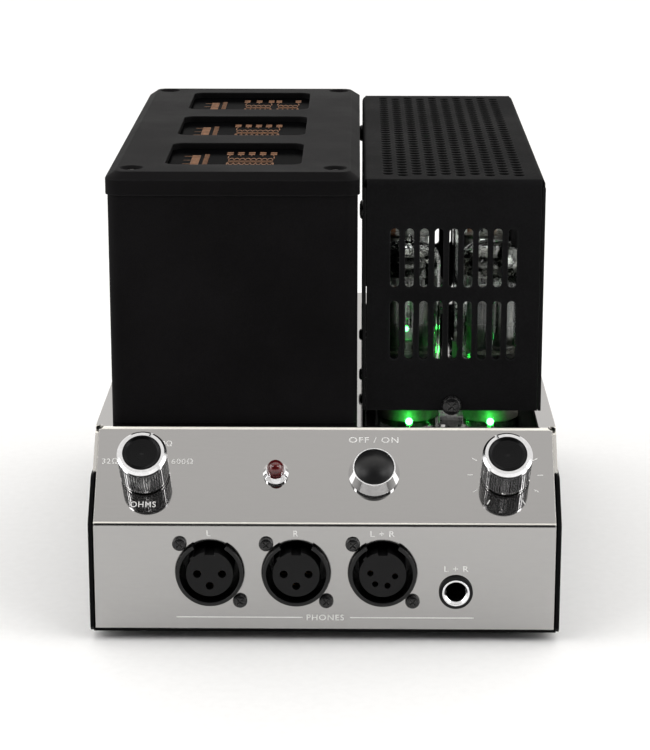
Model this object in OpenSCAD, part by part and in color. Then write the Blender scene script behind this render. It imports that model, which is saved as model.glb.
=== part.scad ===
// Headphone tube amplifier: bent steel chassis, transformer box, tube cage, controls and sockets.
// Origin: bottom centre of the whole object. The controls face -Y, and +X is to their right.

/* [Chassis] */
// Outer width over the tray walls
chassis_w = 155.6; // [140:0.1:190]
// Depth from the front face to the rear face
chassis_d = 222; // [200:0.5:270]
// Height of the lower front face, from the underside of the tray to the bend
lower_h = 37.5; // [37:0.5:46]
// Length of the sloping control panel, measured up its face
slope_len = 36.4; // [34:0.1:44]
// Angle of the control panel above the horizontal
slope_angle = 45; // [40:1:50]
// Thickness of the polished steel and of the tray sheet
sheet_t = 1.2; // [1:0.1:1.6]
// Outside radius of the bends
bend_r = 2.2; // [2:0.1:3]
// Rise of the tray walls above the front bend
wall_rise = 12.9; // [9:0.1:18]
// Gap between the tray walls and the front panel
panel_gap = 0.6; // [0.3:0.1:1.2]
// Step from the tray wall in to the flange of the top plate
flange_step = 0.5; // [0.2:0.1:1]
// Height of the rubber feet
foot_h = 3.2; // [2.5:0.1:5]

/* [Transformer box] */
// Margin between the left side of the chassis and the box
box_margin = 5.5; // [4:0.1:9]
// Gap between the box and the tube cage
box_gap = 1.8; // [1.5:0.1:4]
// Setback of the box from the top bend
box_setback = 4.86; // [3.5:0.02:9]
// Margin behind the box
box_rear = 2.2; // [1.5:0.1:8]
// Height of the box body above the top plate
box_h = 78; // [65:0.5:95]
// Wall of the box
box_t = 1.5; // [1:0.1:2]
// Height of the cap, chamfer included
cap_h = 7.5; // [7:0.1:10]
// Overhang of the cap past the body
cap_over = 0.7; // [0.4:0.1:1]
// Width of the cap at each side of a window
window_side = 18.45; // [16:0.05:22]
// Width of the bars between the windows
window_bar = 16.6; // [12:0.1:22]
// Depth of the cap before the first window and behind the last
window_end = 14.7; // [13:0.1:18]

/* [Tube cage] */
// Outer width of the cage
cage_w = 60.2; // [54:0.1:72]
// Margin between the cage and the right side of the chassis
cage_margin = 5.2; // [4:0.1:9]
// Setback of the cage from the top bend
cage_setback = 8.06; // [5.5:0.02:12]
// Margin behind the cage
cage_rear = 3.5; // [3:0.1:8]
// Height of the cage above the top plate
cage_h = 82.8; // [69:0.2:99]
// Sheet of the cage
cage_t = 1; // [0.8:0.1:1.4]
// Diameter of the round vent holes
vent_hole = 3.6; // [2.5:0.1:4]
// Width of the vent slots
vent_slot = 2.9; // [2:0.1:3.4]

/* [Controls] */
// Distance of both knobs from the sides of the chassis
knob_inset = 18; // [15:0.1:22]
// Diameter of the knobs
knob_dia = 16.4; // [15.8:0.1:20]
// Length of the knobs
knob_len = 14.4; // [12:0.1:18]
// Distance of the button and of the lamp from the middle
centre_x = 16.3; // [14:0.1:20]
// Diameter of the standby button
button_dia = 12.9; // [10:0.1:15.6]
// Diameter of the control shafts
shaft_dia = 6; // [5:0.1:6.35]
// Diameter of the lamp jewel
jewel_dia = 5.6; // [4.4:0.1:7]

/* [Sockets] */
// Bore of the headphone jack
jack_bore = 6.45; // [6.4:0.01:6.6]
// Diameter of the insert of a round socket
insert_dia = 15.5; // [15:0.1:18.6]
// Gap round the insert, which the plug's shell slides into
insert_gap = 2.2; // [2:0.05:2.5]
// Wall of the barrel of a round socket
barrel_wall = 1.15; // [0.9:0.05:1.4]
// Gap between the flanges of neighbouring sockets
socket_gap = 3; // [1:0.1:5]
// Centre of the middle socket across the chassis
socket_mid = -9.3; // [-13:0.1:-6]
// Depth of a round socket's centre below the front bend
socket_drop = 16.5; // [15.5:0.1:17.5]
// Reach of the phono sockets behind the rear panel
phono_reach = 6.6; // [6:0.1:10]

/* [Tubes] */
// Diameter of the glass
glass_dia = 21.5; // [19:0.1:22.2]
// Room between the tips of the output tubes and the top of the cage
tube_room = 14; // [4:0.5:20]
// How much shorter the driver tubes are
driver_drop = 10; // [6:0.5:16]
// Distance of the tube centres from the sides of the cage
tube_inset = 16.1; // [13.5:0.1:16.2]
// Spacing of the tubes along the cage
tube_pitch_y = 62; // [40:0.5:80]

/* [Hidden] */
$fn = 48;

slope_run = slope_len * cos(slope_angle);
slope_rise = slope_len * sin(slope_angle);
top_z = lower_h + slope_rise;
tray_h = lower_h + wall_rise;
knob_x = chassis_w / 2 - knob_inset;
control_t = slope_len / 2 + 0.5;
knob_gap = 0.6;
knob_tip = knob_gap + knob_len;
knob_chamfer = 0.8;
// How far the knobs' lower rims come out past the front face
knob_reach = (knob_tip - knob_chamfer) * sin(slope_angle) + (knob_dia / 2 - control_t) * cos(slope_angle);
front_y = -(chassis_d + phono_reach - knob_reach) / 2;

wall_in = chassis_w / 2 - sheet_t;
panel_w = 2 * (wall_in - panel_gap);
plate_w = chassis_w - 2 * flange_step;
seam = 0.6;
flange_z = tray_h + seam;
lip = 11;
rear_y = chassis_d - sheet_t;
lip_y = rear_y - sheet_t;

screw_r = 1.5;
screw_clear = 0.15;
head_r = 2.75;
head_h = 1.6;
foot_r = 7;
foot_x = chassis_w / 2 - 15;
foot_ys = [16, chassis_d - 16];
case_xs = [-56, -30, 8, 50];
case_ys = [lip / 2 + sheet_t, rear_y - lip / 2];
rear_screw_xs = [14 - panel_w / 2, 12, panel_w / 2 - 10];
rear_screw_z = top_z - 6;

box_w = chassis_w - box_margin - box_gap - cage_w - cage_margin;
box_x = box_margin + (box_w - chassis_w) / 2;
box_y = slope_run + box_setback;
box_d = chassis_d - box_y - box_rear;
cap_z = top_z + box_h;
cap_w = box_w + 2 * cap_over;
cap_d = box_d + 2 * cap_over;
cap_y = box_y - cap_over;
cap_corner = 5;
cap_chamfer = 2.3;
cap_slant = 3.3;
cap_screw_x = box_w / 2 - 7.6;
cap_screw_ys = [box_y + 9.9, box_y + box_d - 7.8];
box_corner = 4;
box_tab = 16;
window_step = 2.2;
window_ledge = 2.5;
window_w = box_w - 2 * window_side;
window_d = (box_d - 2 * window_end - 2 * window_bar) / 3;
window_pitch = window_d + window_bar;
window_x = box_x - 0.45;
window_y = box_y + box_d / 2 + 1.1;
cap_plate = 4.5;
window_plate_t = 1.5;
window_plate_w = window_w + 2 * window_ledge;
window_plate_d = window_d + 2 * window_ledge;

core_w = box_w - 20.9;
core_leg = core_w / 6.2;
core_gap = core_w / 2 - 2 * core_leg;
core_h = box_h - 24;
core_d = 26;
coil_clear = 0.3;
coil_d = window_pitch - 10.8;
strap_t = 1.5;
strap_w = 16;
strap_foot = 5;
transformer_y = [for (k = [-1 : 1]) window_y + k * window_pitch];
box_side_flange = 3.2;
box_end_flange = 8;
box_screw_at = [for (sx = [-1, 1]) for (y = [box_y + 4, box_y + box_d - 4])
    [box_x + sx * (box_w / 2 - 14), y]];

cage_x = (chassis_w - cage_w) / 2 - cage_margin;
cage_y = slope_run + cage_setback;
cage_d = chassis_d - cage_y - cage_rear;
cage_gap = 3.8;
cage_z = top_z + cage_gap;
cage_top = top_z + cage_h;
cage_bend = 2;
cage_seam = 0.2;
slot_pitch = 4.89;
slot_len = 20.1;
slot_rows = [top_z + 31.7, top_z + 56.4];
front_slots = 9;
side_slots = floor((cage_d - 24) / slot_pitch);
hole_pitch_x = 4.85;
hole_pitch_y = 4.85;
hole_cols = 10;
hole_rows = floor((cage_d - 12) / hole_pitch_y);
cage_screw_z = top_z + 5.6;
cage_screw_r = 3.3;
bracket_t = 1.5;
bracket_foot = 10;
bracket_ys = [cage_y + cage_t + 7, cage_y + cage_d - cage_t - 7];
bumper_r = 3.2;
bumper_h = 1.2;
bumper_at = [[15, cage_h - 13], [cage_d - 15, cage_h - 13]];
small_head_at = [[15, 12.3], [70, 12.3]];

tube_seat = 5.8;
tube_tip = 3;
tube_base = top_z + tube_seat;
output_h = cage_h - tube_seat - tube_tip - tube_room;
driver_h = output_h - driver_drop;
tube_pitch_x = cage_w - 2 * tube_inset;
tube_y = cage_y + 28;
tube_at = [for (j = [0, 1]) for (s = [-1, 1]) [cage_x + s * tube_pitch_x / 2, tube_y + j * tube_pitch_y]];
glass_wall = 0.9;
pin_ring = 5.95;
pin_r = 0.5;
tube_wafer = 2;
tube_socket_r = 10.4;
tube_hole_r = 11.4;
pcb_t = 1.6;
tube_board_z = top_z - 11;
tube_board_xs = [cage_x - cage_w / 2 + 6, cage_x + cage_w / 2 - 6];
tube_board_ys = [tube_y - 18, tube_y + tube_pitch_y + 18];
lamp_bore = 3.2;

board_z = 8.4;
board_w = 138;
board_y = 48;
board_d = chassis_d - board_y - 32;
board_holes = [for (x = [-board_w / 2 + 5, 0, board_w / 2 - 5]) for (y = [board_y + 5, board_y + board_d - 5])
    [x, y]];

socket_depth = 20;
socket_lip = 2.4;
insert_face = socket_lip - 0.3;
socket_bore = insert_dia + 2 * insert_gap;
socket_dia = socket_bore + 2 * barrel_wall;
socket_flange = socket_dia + 3.3;
socket_pitch = socket_flange + socket_gap;
socket_screw = socket_flange / 2 - 2.85;
socket_xs = [for (k = [-1 : 1]) socket_mid + k * socket_pitch];
socket_z = lower_h - socket_drop;
input_z = 29;
pin_circle = 4.1;
contact_r = 1.6;
three_pins = [180, 270, 360];
four_pins = [173, 233, 293, 353];
panel_hole_r = socket_dia / 2 + 0.3;
small_screw_r = 1.25;
small_head_r = 2.4;
jack_body = 16;
jack_x = socket_xs[2] + socket_flange / 2 + 3.45 + jack_body / 2;
jack_z = socket_z - 6.6;
jack_thread_r = 4.5;
jack_nut_r = 5.6;

inlet_z = 27;
inlet_w = 29;
inlet_h = 34;
inlet_flange = 48;
inlet_screw = 20;
inlet_cavity = [24.5, 16.5];
drawer_w = 22;
drawer_h = 7;
drawer_len = 24;
drawer_clear = 0.3;
drawer_drop = 11;
phono_zs = [18, 40];
phono_r = 4.15;
phono_flange = 5.6;
toggle_z = 27;
toggle_w = 9;
toggle_bush = 3;
lever_tilt = 12;
pivot_depth = 2;
rear_gap = (panel_w - inlet_flange - toggle_w - 2 * phono_flange - 2 * socket_flange) / 6;
inlet_x = rear_gap + (inlet_flange - panel_w) / 2;
toggle_x = inlet_x + inlet_flange / 2 + rear_gap + toggle_w / 2;
phono_x = toggle_x + toggle_w / 2 + rear_gap + phono_flange;
input_x = phono_x + phono_flange + rear_gap + socket_flange / 2;
input_xs = [input_x + socket_flange + rear_gap, input_x];

button_clear = 0.15;
bezel_stem = button_dia / 2 + button_clear + 1;
bezel_r = bezel_stem + 0.9;
bezel_h = 5.6;
bezel_depth = 7.5;
button_h = 7.6;
button_skirt = 5;
stem_r = 2.4;
switch_w = 14;
bush_r = shaft_dia / 2 + 1.4;
bush_h = 5;
shaft_clear = 0.04;
nut_h = 2;
nut_flats = 2 * bush_r + 2.2;
control_r = 11;
control_deep = 12;
load_pointer = -22.5;
volume_pointer = 28;
knob_recess_r = nut_flats / (2 * cos(30)) + 0.25;
knob_recess_h = 5.4;
disc_r = 6.35;
disc_t = 0.8;
lamp_stem_r = jewel_dia / 2 + 0.8;
lamp_bezel_r = lamp_stem_r + 0.65;

// A bend's arc between two straight runs of an outline
function unit(v) = v / norm(v);
function fillet(a, b, c, r, n = 8) =
    let (u = unit(a - b), v = unit(c - b), half = acos(u * v) / 2)
    let (ctr = b + unit(u + v) * r / sin(half))
    let (p = b + u * r / tan(half) - ctr, q = b + v * r / tan(half) - ctr)
    let (start = atan2(p[1], p[0]), turn = atan2(q[1], q[0]) - start)
    let (sweep = turn > 180 ? turn - 360 : turn < -180 ? turn + 360 : turn)
    [for (i = [0 : n]) ctr + r * [cos(start + sweep * i / n), sin(start + sweep * i / n)]];

// Frames: the chassis, a spot on the sloping panel, on the front and on the rear
module in_chassis() {
    translate([0, front_y, foot_h]) children();
}
module on_slope(x) {
    in_chassis()
        translate([x, control_t * cos(slope_angle), lower_h + control_t * sin(slope_angle)])
            rotate([slope_angle, 0, 0]) children();
}
module on_front(x, z) {
    in_chassis() translate([x, 0, z]) rotate([90, 0, 0]) children();
}
module on_rear(x, z) {
    in_chassis() translate([x, chassis_d, z]) rotate([90, 0, 180]) children();
}
// A profile drawn as depth and height, drawn out across the chassis
module across(x0, x1) {
    translate([x0, 0, 0]) rotate([90, 0, 90]) linear_extrude(x1 - x0) children();
}
module rounded_rect(w, d, r) {
    union() {
        square([w - 2 * r, d], center = true);
        square([w, d - 2 * r], center = true);
        for (sx = [-1, 1]) for (sy = [-1, 1])
            translate([sx * (w / 2 - r), sy * (d / 2 - r)]) circle(r);
    }
}
module slot2d(w, l) {
    square([w, l - w], center = true);
    for (s = [-1, 1]) translate([0, s * (l - w) / 2]) circle(w / 2);
}
// A pan-head screw with a cross recess, its head standing on z = 0
module pan_screw(r, head, high, len) {
    difference() {
        union() {
            rotate_extrude() polygon([[0, 0], [head, 0], [head, high * 0.45], [head * 0.86, high * 0.82],
                [head * 0.5, high], [0, high]]);
            translate([0, 0, -len]) cylinder(r = r, h = len + 0.1);
        }
        for (a = [45, 135]) rotate([0, 0, a])
            translate([0, 0, high]) cube([head * 1.15, head * 0.24, high * 1.1], center = true);
    }
}
module hex_nut(flats, bore, high) {
    difference() {
        cylinder(d = flats / cos(30), h = high, $fn = 6);
        translate([0, 0, -1]) cylinder(r = bore, h = high + 2);
    }
}

// Side outline of the tray wall and of the steel bent over it
function wall_outline() =
    let (top = [(tray_h - lower_h) / tan(slope_angle), tray_h])
    concat([[chassis_d, 0], [1.5, 0], [0, 1.5]], [[0, lower_h]],
        fillet([0, lower_h], top, [chassis_d, tray_h], 4), [[chassis_d, tray_h]]);
function shell_path(inset) =
    let (b = [inset, lower_h - inset * tan((90 - slope_angle) / 2)])
    let (c = [slope_run + inset * tan(slope_angle / 2), top_z - inset])
    let (a = [inset, sheet_t], d = [chassis_d, top_z - inset])
    concat([a], fillet(a, b, c, bend_r - inset), fillet(b, c, d, bend_r - inset), [d]);
function reversed(list) = [for (i = [len(list) - 1 : -1 : 0]) list[i]];

module base_tray() {
    color("#17171a") in_chassis() difference() {
        union() {
            for (x = [-chassis_w / 2, wall_in]) across(x, x + sheet_t) polygon(wall_outline());
            translate([-wall_in - 0.1, 0.4, 0]) cube([2 * wall_in + 0.2, chassis_d - 0.4, sheet_t]);
        }
        for (y = foot_ys) for (s = [-1, 1])
            translate([s * foot_x, y, -1]) cylinder(r = screw_r + screw_clear, h = 4);
        for (x = case_xs) for (y = case_ys)
            translate([x, y, -1]) cylinder(r = screw_r + screw_clear, h = 4);
        for (x = [-54 : 9 : 54]) for (y = [chassis_d * 0.34, chassis_d * 0.66])
            translate([x, y, -1]) linear_extrude(4) slot2d(3, 34);
    }
}

module shell_sheet() {
    across(-panel_w / 2, panel_w / 2) polygon(concat(shell_path(0), reversed(shell_path(sheet_t))));
    translate([-plate_w / 2, slope_run + bend_r, top_z - sheet_t])
        cube([plate_w, chassis_d - slope_run - bend_r, sheet_t]);
    for (x = [-plate_w / 2, plate_w / 2 - sheet_t]) across(x, x + sheet_t)
        polygon([[chassis_d, flange_z], [chassis_d, top_z - 0.1], [slope_run + bend_r, top_z - 0.1],
            [slope_run - 0.6, top_z - 2], [(flange_z - lower_h) / tan(slope_angle) + 0.8, flange_z]]);
    translate([-panel_w / 2 + 4, sheet_t / 2, sheet_t]) cube([panel_w - 8, lip, sheet_t]);
    translate([-panel_w / 2 + 4, lip_y, top_z - 10]) cube([panel_w - 8, sheet_t, 10 - sheet_t / 2]);
}
module chassis_shell() {
    color("#b9b7b3") difference() {
        in_chassis() shell_sheet();
        in_chassis() {
            for (s = [-1, 1]) translate([s * panel_w / 2, slope_run + 0.6, top_z])
                rotate([slope_angle / 2, 0, 0]) cylinder(r = 1.4, h = 6, center = true);
            for (x = case_xs) translate([x, case_ys[0], 0]) cylinder(r = screw_r + 0.05, h = 6);
            for (x = rear_screw_xs) translate([x, chassis_d + 1, rear_screw_z]) rotate([90, 0, 0])
                cylinder(r = screw_r + 0.05, h = 8);
            for (p = tube_at) translate([p[0], p[1], top_z - 4]) cylinder(r = tube_hole_r, h = 6);
            for (p = box_screw_at) translate([p[0], p[1], top_z - 4])
                cylinder(r = screw_r + screw_clear, h = 6);
            for (y = transformer_y) translate([box_x, y + core_d / 2 + 7, top_z])
                cube([24, 8, 6], center = true);
            for (y = bracket_ys) translate([cage_x, y, top_z - 4]) cylinder(r = 1.1, h = 6);
        }
        for (x = socket_xs) on_front(x, socket_z) socket_holes();
        on_front(jack_x, jack_z) panel_hole(jack_thread_r + 0.15);
        for (x = [-knob_x, knob_x]) on_slope(x) panel_hole(bush_r + 0.3);
        on_slope(centre_x) panel_hole(bezel_stem + 0.2);
        on_slope(-centre_x) panel_hole(lamp_stem_r + 0.2);
    }
}
module panel_hole(r) {
    translate([0, 0, -4]) cylinder(r = r, h = 6);
}
module socket_holes() {
    panel_hole(panel_hole_r);
    for (s = [-1, 1]) translate([-s * socket_screw, s * socket_screw, 0])
        panel_hole(small_screw_r + screw_clear);
}

module rear_panel() {
    color("#1b1b1d") difference() {
        in_chassis() {
            translate([-wall_in + 0.3, rear_y, sheet_t]) cube([2 * wall_in - 0.6, sheet_t, tray_h - sheet_t]);
            translate([-panel_w / 2, rear_y, tray_h - 1]) cube([panel_w, sheet_t, top_z - sheet_t - tray_h + 1]);
            translate([-panel_w / 2 + 4, rear_y - lip, sheet_t]) cube([panel_w - 8, lip + 0.1, sheet_t]);
        }
        in_chassis() {
            for (x = case_xs) translate([x, case_ys[1], 0]) cylinder(r = screw_r + 0.05, h = 6);
            for (x = rear_screw_xs) translate([x, chassis_d + 1, rear_screw_z]) rotate([90, 0, 0])
                cylinder(r = screw_r + screw_clear, h = 4);
        }
        for (x = input_xs) on_rear(x, input_z) socket_holes();
        for (z = phono_zs) on_rear(phono_x, z) panel_hole(phono_r + 0.15);
        on_rear(toggle_x, toggle_z) panel_hole(3.15);
        on_rear(inlet_x, inlet_z) {
            translate([0, 0, -1]) cube([inlet_w + 0.4, inlet_h - 1.6, 6], center = true);
            for (s = [-1, 1]) translate([s * inlet_screw, 0, 0]) panel_hole(screw_r + screw_clear);
        }
    }
}

module feet() {
    color("#101012") in_chassis() for (y = foot_ys) for (s = [-1, 1])
        translate([s * foot_x, y, -foot_h]) difference() {
            cylinder(r1 = foot_r - 0.6, r2 = foot_r, h = foot_h);
            translate([0, 0, -1]) cylinder(r = head_r + 0.4, h = foot_h);
            cylinder(r = screw_r + screw_clear, h = foot_h + 1);
        }
}
module foot_screws() {
    color("#8f8f92") in_chassis() for (y = foot_ys) for (s = [-1, 1])
        translate([s * foot_x, y, -1]) rotate([180, 0, 0]) pan_screw(screw_r, head_r, head_h, 4);
}
module case_screws() {
    color("#0e0e10") in_chassis() {
        for (x = case_xs) for (y = case_ys)
            translate([x, y, 0]) rotate([180, 0, 0]) pan_screw(screw_r, head_r, head_h, 5);
        for (x = rear_screw_xs) translate([x, chassis_d, rear_screw_z]) rotate([-90, 0, 0])
            pan_screw(screw_r, head_r, head_h, 5);
        for (p = box_screw_at) translate([p[0], p[1], top_z - sheet_t]) rotate([180, 0, 0])
            pan_screw(screw_r, head_r, head_h, 5);
    }
}

module transformer_box() {
    color("#1d1d20") in_chassis() translate([box_x, box_y + box_d / 2, 0]) difference() {
        union() {
            translate([0, 0, top_z]) linear_extrude(box_h) difference() {
                rounded_rect(box_w, box_d, box_corner);
                rounded_rect(box_w - 2 * box_t, box_d - 2 * box_t, box_corner - box_t);
            }
            translate([0, 0, top_z]) linear_extrude(box_t) difference() {
                rounded_rect(box_w - 1, box_d - 1, box_corner - 0.5);
                square([box_w - 2 * box_side_flange, box_d - 2 * box_end_flange], center = true);
            }
            for (sx = [-1, 1]) for (y = cap_screw_ys)
                translate([sx * (cap_screw_x + 1.6), y - box_y - box_d / 2, cap_z - box_t / 2])
                    cube([11, 24, box_t], center = true);
        }
        translate([0, 0, top_z + 10]) linear_extrude(box_h) difference() {
            square([box_w + 40, box_d + 40], center = true);
            rounded_rect(box_w, box_d, box_corner);
        }
        for (sx = [-1, 1]) for (y = cap_screw_ys)
            translate([sx * cap_screw_x, y - box_y - box_d / 2, cap_z - 4]) cylinder(r = screw_r + 0.05, h = 6);
        for (p = box_screw_at) translate([p[0] - box_x, p[1] - box_y - box_d / 2, top_z - 1])
            cylinder(r = screw_r + 0.05, h = 4);
    }
}

module transformer_cap() {
    color("#2a2a2c") in_chassis() translate([box_x, box_y + box_d / 2, cap_z]) difference() {
        union() {
            linear_extrude(cap_h - cap_chamfer) rounded_rect(cap_w, cap_d, cap_corner);
            hull() {
                translate([0, 0, cap_h - cap_chamfer - 0.1])
                    linear_extrude(0.1) rounded_rect(cap_w, cap_d, cap_corner, $fn = 40);
                translate([0, 0, cap_h - 0.1]) linear_extrude(0.1)
                    rounded_rect(cap_w - 2 * cap_slant, cap_d - 2 * cap_slant, cap_corner - 1.5, $fn = 40);
            }
        }
        translate([0, 0, -1]) linear_extrude(cap_h - cap_plate + 1) difference() {
            rounded_rect(box_w - 2 * box_t - 3, box_d - 2 * box_t - 3, 4);
            for (sx = [-1, 1]) for (y = cap_screw_ys)
                translate([sx * cap_screw_x, y - box_y - box_d / 2]) circle(6.5);
        }
        for (k = [-1 : 1]) translate([window_x - box_x, transformer_y[k + 1] - box_y - box_d / 2, 0]) {
            linear_extrude(cap_h + 1) rounded_rect(window_w, window_d, 4);
            linear_extrude(cap_h - window_step) rounded_rect(window_plate_w + 0.2, window_plate_d + 0.2, 3);
        }
        for (sx = [-1, 1]) for (y = cap_screw_ys) translate([sx * cap_screw_x, y - box_y - box_d / 2, 0]) {
            translate([0, 0, -1]) cylinder(r = screw_r + screw_clear, h = cap_h + 2);
            translate([0, 0, cap_h - 2.4]) cylinder(r = 3.1, h = 5);
            translate([0, 0, cap_h - 0.9]) cylinder(r1 = 3.1, r2 = 4.1, h = 0.91);
        }
    }
}
module cap_screws() {
    color("#0c0c0e") in_chassis() for (sx = [-1, 1]) for (y = cap_screw_ys)
        translate([box_x + sx * cap_screw_x, y, cap_z + cap_h - 2.4]) pan_screw(screw_r, head_r, head_h, 9);
}
module window_plates() {
    color("#0a0a0b") in_chassis() for (y = transformer_y)
        translate([window_x, y, cap_z + cap_h - window_step - window_plate_t]) linear_extrude(window_plate_t)
            rounded_rect(window_plate_w, window_plate_d, 3);
}

module laminated_core(y) {
    in_chassis() translate([box_x, y, top_z]) difference() {
        translate([-core_w / 2, -core_d / 2, 0]) cube([core_w, core_d, core_h]);
        for (s = [-1, 1]) translate([s * (core_leg + core_gap / 2), 0, core_h / 2])
            cube([core_gap, core_d + 2, core_h - 2 * core_leg], center = true);
    }
}
module output_transformer_left() {
    color("#6d6f73") laminated_core(transformer_y[0]);
}
module output_transformer_right() {
    color("#6d6f73") laminated_core(transformer_y[1]);
}
module power_transformer() {
    color("#6d6f73") laminated_core(transformer_y[2]);
}
module transformer_coils() {
    color("#b0702f") in_chassis() for (y = transformer_y) translate([box_x, y, top_z + core_h / 2]) difference() {
        cube([2 * (core_leg + core_gap - coil_clear), coil_d, core_h - 2 * core_leg - 2 * coil_clear],
            center = true);
        cube([2 * (core_leg + coil_clear), core_d + 2 * coil_clear, core_h], center = true);
    }
}
module transformer_straps() {
    strap_in = core_w / 2 + 0.1;
    color("#8d9094") in_chassis() for (y = transformer_y) translate([box_x, y - strap_w / 2, top_z]) {
        difference() {
            translate([-strap_in - strap_t, 0, 0]) cube([2 * (strap_in + strap_t), strap_w, core_h + 0.1 + strap_t]);
            translate([-strap_in, -1, -1]) cube([2 * strap_in, strap_w + 2, core_h + 1.1]);
        }
        for (s = [-1, 1]) translate([s * (strap_in + strap_t + strap_foot / 2 - 0.1), strap_w / 2, strap_t / 2])
            cube([strap_foot + 0.2, strap_w, strap_t], center = true);
    }
}

module cage_end() {
    // One bent end flange, its lower edge clear of the top plate
    rotate([90, 0, 90]) linear_extrude(cage_w - 2 * (cage_t + cage_seam), center = true)
        polygon(concat([[0, cage_z]],
            fillet([0, cage_z], [0, cage_top], [9, cage_top], cage_bend), [[3, cage_top], [3, cage_top - cage_t]],
            fillet([9, cage_top - cage_t], [cage_t, cage_top - cage_t], [cage_t, cage_z], cage_bend - cage_t),
            [[cage_t, cage_z]]));
}
module tube_cage() {
    half = cage_w / 2;
    color("#1b1b1d") in_chassis() translate([cage_x, cage_y, 0]) difference() {
        union() {
            translate([0, 2.9, 0]) rotate([90, 0, 0]) mirror([0, 0, 1]) linear_extrude(cage_d - 5.8)
                polygon(concat([[-half, cage_z]],
                    fillet([-half, cage_z], [-half, cage_top], [half, cage_top], cage_bend),
                    fillet([-half, cage_top], [half, cage_top], [half, cage_z], cage_bend),
                    [[half, cage_z], [half - cage_t, cage_z]],
                    fillet([half - cage_t, cage_z], [half - cage_t, cage_top - cage_t],
                        [cage_t - half, cage_top - cage_t], cage_bend - cage_t),
                    fillet([half - cage_t, cage_top - cage_t], [cage_t - half, cage_top - cage_t],
                        [cage_t - half, cage_z], cage_bend - cage_t),
                    [[cage_t - half, cage_z]]));
            cage_end();
            translate([0, cage_d, 0]) mirror([0, 1, 0]) cage_end();
            for (x = [-half, half - cage_t]) translate([x, 0, cage_z])
                cube([cage_t, cage_d, cage_top - cage_z - cage_bend - 0.8]);
        }
        translate([0, (cage_d - (hole_rows - 0.5) * hole_pitch_y) / 2, cage_top - 3]) linear_extrude(5)
            for (i = [0 : hole_cols - 1]) for (j = [0 : hole_rows - 1])
                translate([(i - (hole_cols - 1) / 2) * hole_pitch_x, (j + (1 - i % 2) / 2) * hole_pitch_y])
                    circle(vent_hole / 2);
        for (z = slot_rows) {
            translate([0, -1, z]) rotate([90, 0, 0]) mirror([0, 0, 1]) linear_extrude(cage_d + 2)
                for (i = [0 : front_slots - 1]) translate([(i - (front_slots - 1) / 2) * slot_pitch, 0])
                    slot2d(vent_slot, slot_len);
            translate([-half - 1, cage_d / 2, z]) rotate([90, 0, 90]) linear_extrude(cage_w + 2)
                for (i = [0 : side_slots - 1]) translate([(i - (side_slots - 1) / 2) * slot_pitch, 0])
                    slot2d(vent_slot, slot_len);
        }
        translate([0, cage_d + 1, cage_screw_z]) rotate([90, 0, 0])
            cylinder(r = screw_r + screw_clear, h = cage_d + 2);
        for (p = concat(bumper_at, small_head_at)) translate([-half - 1, p[0], top_z + p[1]]) rotate([0, 90, 0])
            cylinder(r = small_screw_r + screw_clear, h = 4);
    }
}
module cage_brackets() {
    color("#77787b") in_chassis() for (side = [0, 1])
        translate([cage_x, side == 0 ? cage_y : cage_y + cage_d, top_z]) mirror([0, side, 0]) difference() {
            union() {
                translate([-2, cage_t + 0.02, 0]) cube([4, bracket_t, cage_screw_z - top_z]);
                translate([0, cage_t + 0.02, cage_screw_z - top_z]) rotate([-90, 0, 0])
                    cylinder(r = cage_screw_r + 0.2, h = bracket_t);
                translate([-4, cage_t + 0.02, 0]) cube([8, bracket_foot, bracket_t]);
            }
            translate([0, -1, cage_screw_z - top_z]) rotate([-90, 0, 0]) cylinder(r = screw_r + 0.05, h = 6);
            translate([0, cage_t + 7, -1]) cylinder(r = 1.1, h = 4);
        }
}
module cage_screws() {
    color("#0b0b0d") in_chassis() for (side = [0, 1])
        translate([cage_x, side == 0 ? cage_y : cage_y + cage_d, cage_screw_z]) rotate([side == 0 ? 90 : -90, 0, 0])
            pan_screw(screw_r, cage_screw_r, 1.9, 4);
}
module cage_side_screws() {
    color("#0b0b0d") in_chassis() for (k = [0, 1]) for (p = k == 0 ? bumper_at : small_head_at)
        translate([cage_x - cage_w / 2, cage_y + p[0], top_z + p[1]]) rotate([0, -90, 0])
            pan_screw(small_screw_r, k == 0 ? bumper_r : 2, bumper_h, 3.5);
}

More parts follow.
